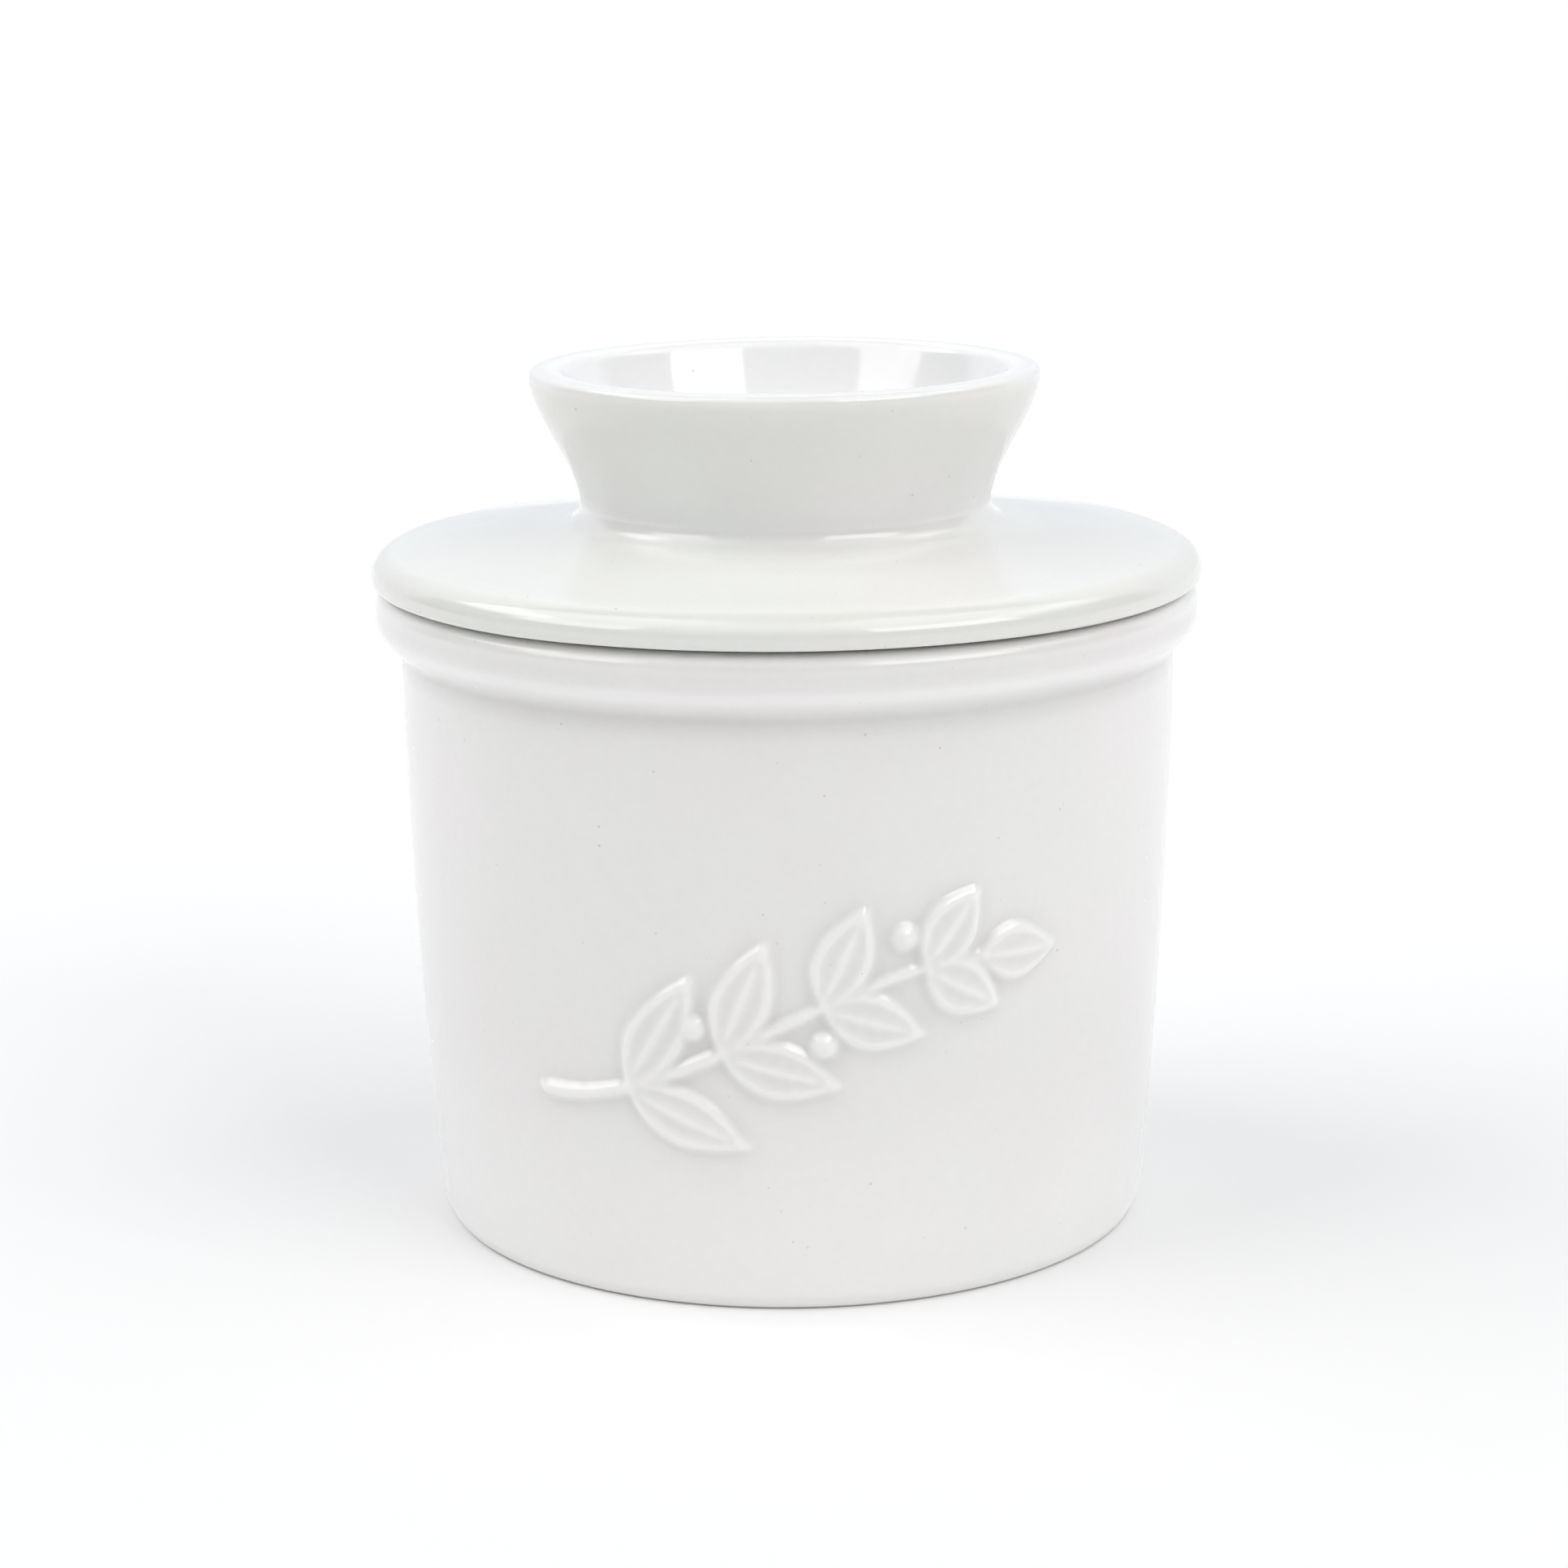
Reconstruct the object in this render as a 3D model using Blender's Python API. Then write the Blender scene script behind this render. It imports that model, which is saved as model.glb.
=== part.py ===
"""A butter crock in two fired pieces: a pot that holds water and a bell lid with a butter cup under it.

Both pieces are turned about the Z axis. The pot stands on z = 0 and its raised sprig faces -Y.
Lengths are in metres and angles in degrees. Profiles are lists of (radius, height) points.
"""

import math

import bmesh
import bpy
from mathutils import Vector

# Facets
SEGMENTS = 60
ARC_STEP = 24.0
BODY_STEPS = 9
FLARE_STEPS = 7
EDGE_STEPS = 6

# Pot: foot and floor
FOOT_OUTER = 0.0432
FOOT_INNER = 0.0378
FOOT_ROUND = 0.0010
RECESS_RADIUS = 0.0370
RECESS_DEPTH = 0.0016
FLOOR_TOP = 0.0070
FLOOR_ROUND = 0.0050

# Pot: side, as the two ends and two handles of one curve
SIDE_BOTTOM = (0.04405, 0.0016)
SIDE_LOW_HANDLE = (0.04555, 0.0126)
SIDE_HIGH_HANDLE = (0.04778, 0.0583)
SIDE_TOP = (0.04729, 0.0712)
WALL = 0.0038

# Pot: collar round the mouth
COLLAR_RADIUS = 0.05036
COLLAR_BOTTOM = 0.0740
COLLAR_SLOPE = 0.0030
COLLAR_LOW_ROUND = 0.0035
COLLAR_TOP_ROUND = 0.0019
UNDERCUT_ROUND = 0.0018
RIM_TOP = 0.0789
MOUTH_RADIUS = 0.0434
MOUTH_ROUND = 0.0016

# Lid: cover plate, resting on the collar with a hairline gap
SEAT_GAP = 0.0003
PLATE_UNDER = RIM_TOP + SEAT_GAP
PLATE_RADIUS = 0.0508
PLATE_LOW_ROUND = 0.0009
PLATE_WIDEST = 0.0806
PLATE_SHOULDER = (0.0474, 0.0836)
ROUND_HANDLE = 0.5523

# Lid: butter cup hanging under the plate, open downwards
CUP_ROOT_RADIUS = 0.0319
CUP_RIM_RADIUS = 0.0324
CUP_RIM = 0.0190
CUP_WALL = 0.0040
CUP_RIM_ROUND = 0.0017
CUP_ROOT_ROUND = 0.0025
CUP_END = 0.0795
CUP_END_ROUND = 0.0040

# Lid: flared hollow knob, which is also the foot when the lid stands upside down
NECK_ROUND = 0.0024
FLARE_BOTTOM = (0.02480, 0.0866)
FLARE_LOW_HANDLE = (0.02494, 0.0940)
FLARE_HIGH_HANDLE = (0.03105, 0.0987)
LIP_OUTER = (0.03120, 0.1050)
LIP_OUTER_ROUND = 0.0010
LIP_INNER = (0.02700, 0.1050)
LIP_INNER_ROUND = 0.0016
BOWL_FLOOR = 0.0845
BOWL_FLOOR_RADIUS = 0.0196
BOWL_FLOOR_ROUND = 0.0035

# Raised sprig on the front of the pot, measured along the wall and up from the middle of the sprig
SPRIG_MIDDLE_ACROSS = 0.0015
SPRIG_MIDDLE_UP = 0.0373
SPRIG_RELIEF = 0.0010
SPRIG_SINK = 0.0004
STEM_ENDS = ((-0.0320, -0.0120), (0.0215, 0.0048))
STEM_HANDLES = ((-0.0150, -0.0130), (0.0020, 0.0055))
STEM_RADIUS = 0.0010
STEM_TAPER = 0.35
STEM_SAMPLES = 60
STEM_STEPS = 12
STEM_SIDES = 6
LEAF_PAIRS = 4
LEAF_FIRST = 0.22
LEAF_LAST = 0.86
LEAF_LENGTH = 0.0165
LEAF_TIP_LENGTH = 0.0115
LEAF_WIDTH = 0.0036
LEAF_ANGLE = 42.0
LEAF_EDGE = 0.0009
LEAF_FULLNESS = 0.85
LEAF_HOLLOW = 0.55
LEAF_VEIN = 0.85
LEAF_STEPS = 8
BERRY_RADIUS = 0.0019
BERRY_SINK = 0.0006
BERRY_SETBACK = 0.0015
BERRY_STALK = 0.0042

# Looks
POT_COLOUR = (0.86, 0.845, 0.84, 1.0)
LID_COLOUR = (0.84, 0.85, 0.835, 1.0)
GLAZE_ROUGHNESS = 0.12


def clear_scene():
    for item in list(bpy.data.objects):
        bpy.data.objects.remove(item, do_unlink=True)


def curve_points(start, start_handle, end_handle, end, steps):
    """Points of a cubic curve from start to end, both included."""
    points = []
    for step in range(steps + 1):
        t = step / steps
        weights = ((1 - t) ** 3, 3 * t * (1 - t) ** 2, 3 * t * t * (1 - t), t**3)
        corners = (start, start_handle, end_handle, end)
        points.append(sum((w * Vector(c) for w, c in zip(weights, corners)), Vector((0, 0))))
    return points


def round_corner(before, corner, after, radius):
    """The arc that rounds one corner of a profile."""
    to_before = (Vector(before) - Vector(corner)).normalized()
    to_after = (Vector(after) - Vector(corner)).normalized()
    opening = to_before.angle(to_after)
    start = Vector(corner) + to_before * radius / math.tan(opening / 2)
    centre = Vector(corner) + (to_before + to_after).normalized() * radius / math.sin(opening / 2)
    turn = math.pi - opening
    steps = max(1, math.ceil(math.degrees(turn) / ARC_STEP))
    if to_before.x * to_after.y - to_before.y * to_after.x > 0:
        turn = -turn
    spoke = start - centre
    arc = []
    for step in range(steps + 1):
        angle = turn * step / steps
        across = spoke.x * math.cos(angle) - spoke.y * math.sin(angle)
        up = spoke.x * math.sin(angle) + spoke.y * math.cos(angle)
        arc.append(centre + Vector((across, up)))
    return arc


def rounded(corners):
    """A profile from (point, radius) pairs, with an arc wherever the radius is above zero."""
    points = []
    for index, (corner, radius) in enumerate(corners):
        if radius > 0:
            before, after = corners[index - 1][0], corners[index + 1][0]
            points += round_corner(before, corner, after, radius)
        else:
            points.append(Vector(corner))
    return points


def wall_side():
    return curve_points(SIDE_BOTTOM, SIDE_LOW_HANDLE, SIDE_HIGH_HANDLE, SIDE_TOP, BODY_STEPS)


def pot_profile():
    side = wall_side()
    inner_side = [point - Vector((WALL, 0)) for point in side[2:-1]]
    corners = [
        ((0, RECESS_DEPTH), 0),
        ((RECESS_RADIUS, RECESS_DEPTH), FOOT_ROUND),
        ((FOOT_INNER, 0), FOOT_ROUND / 2),
        ((FOOT_OUTER, 0), FOOT_ROUND),
    ]
    corners += [(point, 0) for point in side[:-1]]
    corners += [
        ((SIDE_TOP[0], COLLAR_BOTTOM - COLLAR_SLOPE), UNDERCUT_ROUND),
        ((COLLAR_RADIUS, COLLAR_BOTTOM), COLLAR_LOW_ROUND),
        ((COLLAR_RADIUS, RIM_TOP), COLLAR_TOP_ROUND),
        ((MOUTH_RADIUS, RIM_TOP), MOUTH_ROUND),
    ]
    corners += [(point, 0) for point in reversed(inner_side)]
    corners += [
        ((inner_side[0].x - WALL / 4, FLOOR_TOP), FLOOR_ROUND),
        ((0, FLOOR_TOP), 0),
    ]
    return rounded(corners)


def plate_edge():
    """The soft outer edge of the cover plate, from its shoulder down to its widest point."""
    shoulder = Vector(PLATE_SHOULDER)
    widest = Vector((PLATE_RADIUS, PLATE_WIDEST))
    out = (shoulder - Vector(FLARE_BOTTOM)).normalized() * (widest.x - shoulder.x) * ROUND_HANDLE
    up = Vector((0, shoulder.y - widest.y)) * ROUND_HANDLE
    return curve_points(shoulder, shoulder + out, widest + up, widest, EDGE_STEPS)


def knob_flare():
    """The outside of the knob between the rounding of its neck and its lip."""
    return curve_points(FLARE_BOTTOM, FLARE_LOW_HANDLE, FLARE_HIGH_HANDLE, LIP_OUTER, FLARE_STEPS)[1:-1]


def lid_profile():
    plate_top = list(reversed(plate_edge()))
    corners = [
        ((0, CUP_END), 0),
        ((CUP_ROOT_RADIUS - CUP_WALL, CUP_END), CUP_END_ROUND),
        ((CUP_RIM_RADIUS - CUP_WALL, CUP_RIM), CUP_RIM_ROUND),
        ((CUP_RIM_RADIUS, CUP_RIM), CUP_RIM_ROUND),
        ((CUP_ROOT_RADIUS, PLATE_UNDER), CUP_ROOT_ROUND),
        ((PLATE_RADIUS, PLATE_UNDER), PLATE_LOW_ROUND),
    ]
    corners += [(point, 0) for point in plate_top]
    corners.append((FLARE_BOTTOM, NECK_ROUND))
    corners += [(point, 0) for point in knob_flare()]
    corners += [
        (LIP_OUTER, LIP_OUTER_ROUND),
        (LIP_INNER, LIP_INNER_ROUND),
        ((BOWL_FLOOR_RADIUS, BOWL_FLOOR), BOWL_FLOOR_ROUND),
        ((0, BOWL_FLOOR), 0),
    ]
    return rounded(corners)


def turned_mesh(profile):
    """A closed bmesh from a profile that starts and ends on the axis."""
    mesh = bmesh.new()
    rings = []
    for radius, height in profile:
        if radius < 1e-6:
            rings.append([mesh.verts.new((0, 0, height))] * SEGMENTS)
            continue
        ring = []
        for segment in range(SEGMENTS):
            angle = 2 * math.pi * segment / SEGMENTS - math.pi / 2
            ring.append(mesh.verts.new((radius * math.cos(angle), radius * math.sin(angle), height)))
        rings.append(ring)
    for lower, upper in zip(rings, rings[1:]):
        for segment in range(SEGMENTS):
            beside = (segment + 1) % SEGMENTS
            corners = [lower[segment], lower[beside], upper[beside], upper[segment]]
            mesh.faces.new(list(dict.fromkeys(corners)))
    bmesh.ops.recalc_face_normals(mesh, faces=mesh.faces)
    return mesh


def turned_direction(vector, degrees):
    angle = math.radians(degrees)
    across = vector.x * math.cos(angle) - vector.y * math.sin(angle)
    up = vector.x * math.sin(angle) + vector.y * math.cos(angle)
    return Vector((across, up))


def side_radius(height):
    """Radius of the pot's side at a height, read off its profile."""
    side = wall_side()
    for lower, upper in zip(side, side[1:]):
        if lower.y <= height <= upper.y:
            share = (height - lower.y) / (upper.y - lower.y)
            return lower.x + (upper.x - lower.x) * share
    return side[-1].x


def on_wall(place, relief):
    """The point of the pot's side at a place of the sprig's drawing, raised by the relief."""
    height = SPRIG_MIDDLE_UP + place.y
    radius = side_radius(height)
    angle = (SPRIG_MIDDLE_ACROSS + place.x) / radius
    radius += relief
    return Vector((radius * math.sin(angle), -radius * math.cos(angle), height))


def skin(mesh, sections):
    """Joins rings of points into a closed shell with a fan at each end."""
    rings = [[mesh.verts.new(point) for point in section] for section in sections]
    for ring, following in zip(rings, rings[1:]):
        for index in range(len(ring)):
            beside = (index + 1) % len(ring)
            mesh.faces.new((ring[index], ring[beside], following[beside], following[index]))
    for ring in (rings[0], rings[-1]):
        middle = sum((vertex.co for vertex in ring), Vector()) / len(ring)
        point = mesh.verts.new(middle)
        for index in range(len(ring)):
            mesh.faces.new((ring[index], ring[(index + 1) % len(ring)], point))


def add_leaf(mesh, base, direction, length):
    """A leaf with a raised edge and a raised vein, pointed at both ends."""
    sideways = turned_direction(direction, 90)
    sections = []
    for step in range(LEAF_STEPS + 1):
        share = 0.02 + 0.96 * step / LEAF_STEPS
        half_width = LEAF_WIDTH * math.sin(math.pi * share**LEAF_FULLNESS)
        crest = max(half_width - LEAF_EDGE, 0.3 * half_width)
        middle = base + direction * length * share
        outline = [
            (-half_width, -SPRIG_SINK),
            (-crest, SPRIG_RELIEF),
            (-crest / 2, SPRIG_RELIEF * LEAF_HOLLOW),
            (0, SPRIG_RELIEF * LEAF_VEIN),
            (crest / 2, SPRIG_RELIEF * LEAF_HOLLOW),
            (crest, SPRIG_RELIEF),
            (half_width, -SPRIG_SINK),
        ]
        sections.append([on_wall(middle + sideways * across, up) for across, up in outline])
    skin(mesh, sections)


def add_stem(mesh, stem):
    sections = []
    for index in range(0, len(stem), STEM_SAMPLES // STEM_STEPS):
        share = index / (len(stem) - 1)
        ahead = stem[min(index + 1, len(stem) - 1)]
        behind = stem[max(index - 1, 0)]
        sideways = turned_direction((ahead - behind).normalized(), 90)
        radius = STEM_RADIUS * (1 - STEM_TAPER * share)
        section = []
        for corner in range(STEM_SIDES):
            angle = 2 * math.pi * corner / STEM_SIDES
            place = stem[index] + sideways * radius * math.cos(angle)
            section.append(on_wall(place, radius * math.sin(angle)))
        sections.append(section)
    skin(mesh, sections)


def add_berry(mesh, place):
    centre = on_wall(place, -BERRY_SINK)
    made = bmesh.ops.create_icosphere(mesh, subdivisions=2, radius=BERRY_RADIUS)
    bmesh.ops.translate(mesh, verts=made["verts"], vec=centre)


def leaves_and_berries(stem):
    """(base, direction, length) of each leaf and the place of each berry, along the stem."""
    leaves = []
    berries = []
    for pair in range(LEAF_PAIRS):
        share = pair / (LEAF_PAIRS - 1)
        sample = round(STEM_SAMPLES * (LEAF_FIRST + (LEAF_LAST - LEAF_FIRST) * share))
        along = (stem[sample + 1] - stem[sample - 1]).normalized()
        length = LEAF_LENGTH + (LEAF_TIP_LENGTH - LEAF_LENGTH) * share
        for side in (1, -1):
            leaves.append((stem[sample], turned_direction(along, side * LEAF_ANGLE), length))
        if pair > 0:
            side = 1 if pair % 2 else -1
            behind = stem[sample] - along * BERRY_SETBACK
            berries.append(behind + turned_direction(along, side * 90) * BERRY_STALK)
    tip = (stem[-1] - stem[-2]).normalized()
    leaves.append((stem[-1] - tip * STEM_RADIUS, tip, LEAF_TIP_LENGTH))
    return leaves, berries


def sprig_cutter():
    """The sprig as shells sunk a little into the pot's side, for joining to the pot."""
    mesh = bmesh.new()
    stem = curve_points(STEM_ENDS[0], STEM_HANDLES[0], STEM_HANDLES[1], STEM_ENDS[1], STEM_SAMPLES)
    leaves, berries = leaves_and_berries(stem)
    add_stem(mesh, stem)
    for leaf in leaves:
        add_leaf(mesh, *leaf)
    for place in berries:
        add_berry(mesh, place)
    bmesh.ops.recalc_face_normals(mesh, faces=mesh.faces)
    sprig = add_piece("sprig_shape", mesh, None)
    sprig.hide_render = True
    sprig.display_type = "WIRE"
    return sprig


def join_to(piece, addition):
    joint = piece.modifiers.new("join_" + addition.name, "BOOLEAN")
    joint.operation = "UNION"
    joint.solver = "EXACT"
    joint.use_self = True
    joint.object = addition


def glaze(name, colour):
    material = bpy.data.materials.new(name)
    material.use_nodes = True
    surface = material.node_tree.nodes["Principled BSDF"]
    surface.inputs["Base Color"].default_value = colour
    surface.inputs["Roughness"].default_value = GLAZE_ROUGHNESS
    surface.inputs["Metallic"].default_value = 0.0
    return material


def add_piece(name, mesh, material):
    bmesh.ops.triangulate(mesh, faces=mesh.faces)
    data = bpy.data.meshes.new(name)
    mesh.to_mesh(data)
    mesh.free()
    if material:
        data.materials.append(material)
    piece = bpy.data.objects.new(name, data)
    bpy.context.scene.collection.objects.link(piece)
    return piece


def build():
    clear_scene()
    pot = add_piece("crock", turned_mesh(pot_profile()), glaze("warm_white_glaze", POT_COLOUR))
    join_to(pot, sprig_cutter())
    add_piece("bell_lid", turned_mesh(lid_profile()), glaze("cool_white_glaze", LID_COLOUR))


build()
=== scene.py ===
"""Looks of the butter crock: a glazed porcelain pot and bell lid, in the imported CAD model's frame.

Named lengths are in metres and named angles in degrees. Profiles are arrays of (radius, height)
points.
"""

import math

import bpy
import numpy as np
from mathutils import Matrix, Vector


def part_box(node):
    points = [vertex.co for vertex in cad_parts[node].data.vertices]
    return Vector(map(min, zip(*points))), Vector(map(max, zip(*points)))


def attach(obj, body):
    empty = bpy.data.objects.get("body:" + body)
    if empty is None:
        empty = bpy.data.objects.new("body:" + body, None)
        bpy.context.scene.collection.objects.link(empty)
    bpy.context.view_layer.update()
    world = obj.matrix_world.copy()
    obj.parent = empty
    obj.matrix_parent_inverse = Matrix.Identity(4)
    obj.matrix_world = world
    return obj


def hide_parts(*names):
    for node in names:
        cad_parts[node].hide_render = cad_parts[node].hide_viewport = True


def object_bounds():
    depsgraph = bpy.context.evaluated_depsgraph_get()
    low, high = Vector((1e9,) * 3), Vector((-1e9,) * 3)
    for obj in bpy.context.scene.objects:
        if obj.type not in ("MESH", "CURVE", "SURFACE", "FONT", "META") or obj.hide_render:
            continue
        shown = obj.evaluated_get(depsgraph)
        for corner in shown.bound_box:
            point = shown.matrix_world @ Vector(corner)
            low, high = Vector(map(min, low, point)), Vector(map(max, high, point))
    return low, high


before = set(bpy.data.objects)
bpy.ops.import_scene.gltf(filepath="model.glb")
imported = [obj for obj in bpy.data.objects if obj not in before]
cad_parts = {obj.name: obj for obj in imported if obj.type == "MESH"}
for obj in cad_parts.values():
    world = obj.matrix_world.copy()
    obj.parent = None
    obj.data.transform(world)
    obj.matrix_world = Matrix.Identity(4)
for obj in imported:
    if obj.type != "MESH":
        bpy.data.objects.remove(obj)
cad_low, cad_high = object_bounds()

pot_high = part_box("crock")[1]
lid_low, lid_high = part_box("bell_lid")

MM_IN_METRE = 1000
LEAST_STEP = 1e-9
WHITE = (1, 1, 1, 1)

# Pot, as in the CAD
FOOT_OUTER = 0.0432
FOOT_INNER = 0.0378
FOOT_ROUND = 0.0010
FOOT_INNER_ROUND = FOOT_ROUND / 2
RECESS_RADIUS = 0.0370
RECESS_DEPTH = 0.0016
FLOOR_TOP = 0.0070
FLOOR_ROUND = 0.0050
SIDE_CURVE = ((0.04405, 0.0016), (0.04555, 0.0126), (0.04778, 0.0583), (0.04729, 0.0712))
SIDE_STEPS = 80
WALL = 0.0038
FLOOR_INSET = WALL / 4
SIDE_UP_TO = 0.0695
INNER_SIDE_FROM = 0.0130
COLLAR_RADIUS = pot_high.x
COLLAR_BOTTOM = 0.0740
COLLAR_SLOPE = 0.0030
COLLAR_LOW_ROUND = 0.0035
COLLAR_TOP_ROUND = 0.0019
UNDERCUT_ROUND = 0.0018
RIM_TOP = pot_high.z
MOUTH_RADIUS = 0.0434
MOUTH_ROUND = 0.0016

# Lid, as in the CAD
LID_GAP = 0.0003
PLATE_UNDER = RIM_TOP + LID_GAP
PLATE_RADIUS = lid_high.x
PLATE_LOW_ROUND = 0.0009
PLATE_WIDEST = 0.0806
PLATE_SHOULDER = (0.0474, 0.0836)
ROUND_HANDLE = 0.5523
EDGE_STEPS = 24
CUP_ROOT_RADIUS = 0.0319
CUP_RIM_RADIUS = 0.0324
CUP_RIM = lid_low.z
CUP_WALL = 0.0040
CUP_RIM_ROUND = 0.0017
CUP_ROOT_ROUND = 0.0025
CUP_END = 0.0795
CUP_END_ROUND = 0.0040
NECK_ROUND = 0.0024
NECK_CLEARANCE = 1.3
FLARE_CURVE = ((0.02480, 0.0866), (0.02494, 0.0940), (0.03105, 0.0987), (0.03120, lid_high.z))
FLARE_STEPS = 40
FLARE_STEPS_IN_LIP = 3
LIP_OUTER_ROUND = 0.0010
LIP_INNER = (0.02700, lid_high.z)
LIP_INNER_ROUND = 0.0016
BOWL_FLOOR = 0.0845
BOWL_FLOOR_RADIUS = 0.0196
BOWL_FLOOR_ROUND = 0.0035

# Raised sprig, where the CAD has it
SPRIG_MIDDLE = (0.0015, 0.0373)
SPRIG_RELIEF = 0.0010
STEM_CURVE = ((-0.0320, -0.0120), (-0.0150, -0.0130), (0.0020, 0.0055), (0.0215, 0.0048))
STEM_RADIUS = 0.0010
STEM_TAPER = 0.35
STEM_SAMPLES = 60
STEM_FINE_SAMPLES = 240
LEAF_PAIRS = 4
LEAF_FIRST = 0.22
LEAF_LAST = 0.86
LEAF_LENGTH = 0.0165
LEAF_TIP_LENGTH = 0.0115
LEAF_WIDTH = 0.0036
LEAF_ANGLE = 42.0
LEAF_EDGE = 0.0009
LEAF_FULLNESS = 0.85
BERRY_RADIUS = 0.0019
BERRY_SINK = 0.0006
BERRY_SETBACK = 0.0015
BERRY_STALK = 0.0042
SPRIG_WINDOW = (-0.0345, 0.0355, -0.0195, 0.0175)

# A leaf's section: its raised edge, the hollow beside the middle vein, and the fine ribs across
LEAF_SLOPE = 0.9
LEAF_SPREAD = 0.25
LEAF_CREST = 0.8
LEAF_CREST_LEAST = 0.00001
LEAF_DIP = 0.45
LEAF_DIP_POWER = 1.5
LEAF_DIP_FROM = 0.0012
LEAF_RIB = 0.10
LEAF_RIB_SLANT = 0.55
LEAF_RIB_SPACING = 0.0021

# Smoothing passes over the sprig: for its relief, then for the near and far means that find its
# crests and the ground round it
SPRIG_BLUR = 2
NEAR_BLUR = 5
FAR_BLUR = 19

# Mesh density
ARC_STEP = 3.0
RESAMPLE = 0.00012
SOFTEN = 0.00030
SOFTEN_REACH = 3
ROW_TURN = 4.5
ROW_LONGEST = 0.0022
ROW_SPRIG = 0.00032
COLUMN_FINE = 0.42
COLUMN_COARSE = 2.2
COLUMN_GROWTH = 1.15
FRONT_HALF_ANGLE = 44.0
LID_COLUMNS = 200

# Hand-made unevenness: its size and random seed on each piece, then the waves that are summed,
# the sum that counts as full size, and the stretches by the axis and the floor where it fades out
POT_WAVE = (0.00003, 11)
LID_WAVE = (0.00004, 5)
WAVES = 14
WAVE_SHORTEST = 0.015
WAVE_LONGEST = 0.045
WAVE_TALLEST = 3
WAVE_FADE_RADIUS = 0.004
WAVE_FADE_HEIGHT = 0.003

# Glaze thickness with painted light and shade, from 0 to 1: pooled glaze and painted shade that
# hollow bends add, and thin glaze and painted highlight that edges take away
BEND_REACH = 0.0006
HOLLOW_GLAZE_AND_SHADE = 0.9
HOLLOW_SHADE_MOST = 0.5
EDGE_PAINTED_HIGHLIGHT = 0.35
EDGE_HIGHLIGHT_MOST = 0.35

# On the pot: its side, the collar's face (painted shade), the collar's lower bend (painted
# highlight) and the stretch over the foot (painted light from the floor's bounce)
POT_GLAZE = 0.48
COLLAR_PAINTED_SHADE = 0.15
COLLAR_FADE = 0.002
RIDGE_HEIGHT = 0.0737
RIDGE_REACH = 0.0009
RIDGE_PAINTED_HIGHLIGHT = 0.50
FOOT_PAINTED_LIGHT = 0.30
FOOT_LIGHT_UP_TO = 0.034
BARE_BELOW = 0.00022

# Painted shade round the sprig and painted highlight on its crests
SPRIG_SHADE_GAIN = 1.1
SPRIG_SHADE_MOST = 0.4
CREST_HIGHLIGHT_GAIN = 3.5
CREST_HIGHLIGHT_MOST = 0.35

# On the lid: the plate and cup, the knob's bowl (painted light), flare (painted shade) and neck
# (painted highlight), and the plate's edge (painted shade)
PLATE_GLAZE = 0.47
BOWL_PAINTED_LIGHT = 0.00
FLARE_PAINTED_SHADE = 0.60
NECK_PAINTED_HIGHLIGHT = 0.05
NECK_FADE = 0.12
NECK_START = 0.3
LIP_FADE = 0.002
PLATE_EDGE_PAINTED_SHADE = 0.24
EDGE_FADE = 0.002
LID_HOLLOW_SHADE_SHARE = 0.2

# Glaze colours where it is thinnest and where it is thickest, the ends between which painted light
# and painted shade are mixed, the seed of its patterns, and its roughness
POT_LOOK = ((0.930, 0.921, 0.915, 1), (0.705, 0.698, 0.686, 1), 3.1, 0.14)
LID_LOOK = ((0.900, 0.898, 0.902, 1), (0.680, 0.684, 0.625, 1), 7.7, 0.055)
GLAZE_IOR = 1.55

# Noises by their scale and detail. Those that move the glaze's thickness have an amount too.
THICKNESS_NOISES = ((55, 4, 0.03), (14, 2, 0.04), (900, 3, 0.03))
TINT_NOISE = (38, 3)
GLOSS_NOISE = (90, 3)
GRAIN_NOISE = (1400, 3)
RIPPLE_NOISE = (320, 2)
NOISE_LOW = 0.3
NOISE_HIGH = 0.7
TINT_LOW = 0.35
TINT_HIGH = 0.65
WARM_TINT = (1.0, 0.985, 0.988, 1)
COOL_TINT = (0.985, 1.0, 0.990, 1)

# Pinholes: cells in a metre, the share of them with none, and ranges of radius and of stain
PINHOLE_SCALE = 430.0
PINHOLES_SKIPPED = 0.20
PINHOLE_REACH = (0.02, 0.08)
PINHOLE_STAIN = (0.08, 0.50)
PINHOLE_COLOUR = (0.34, 0.32, 0.30, 1)
PINHOLE_ROUGHNESS = 0.15

# Gloss as shares of a piece's roughness, and the fine bump made of grain and ripples
GLOSS_SPREAD = (0.75, 1.35)
GRAIN_SHARE = 0.25
GLAZE_BUMP = 0.00002
GLAZE_BUMP_STRENGTH = 0.35

# Bare clay under the foot
CLAY_GRIT = {"Scale": 260.0, "Detail": 6.0, "Roughness": 0.65}
CLAY_DARK = (0.60, 0.55, 0.49, 1)
CLAY_LIGHT = (0.78, 0.74, 0.68, 1)
CLAY_ROUGHNESS = (0.70, 0.92)
CLAY_BUMP = 0.00008
CLAY_BUMP_STRENGTH = 0.6

# Floor: its colour in reflections and to the camera, and the camera's lift
FLOOR_COLOUR = (0.88, 0.88, 0.88, 1)
FLOOR_SEEN = (0.753, 0.753, 0.753, 1)
FLOOR_LIFT = 0.106
FLOOR_REACH = 30.0
FLOOR_SIDES = 96
FLOOR_CLOUDS = {"Scale": 6.0, "Detail": 2.0}
FLOOR_CLOUD_SHARE = 0.01

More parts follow.
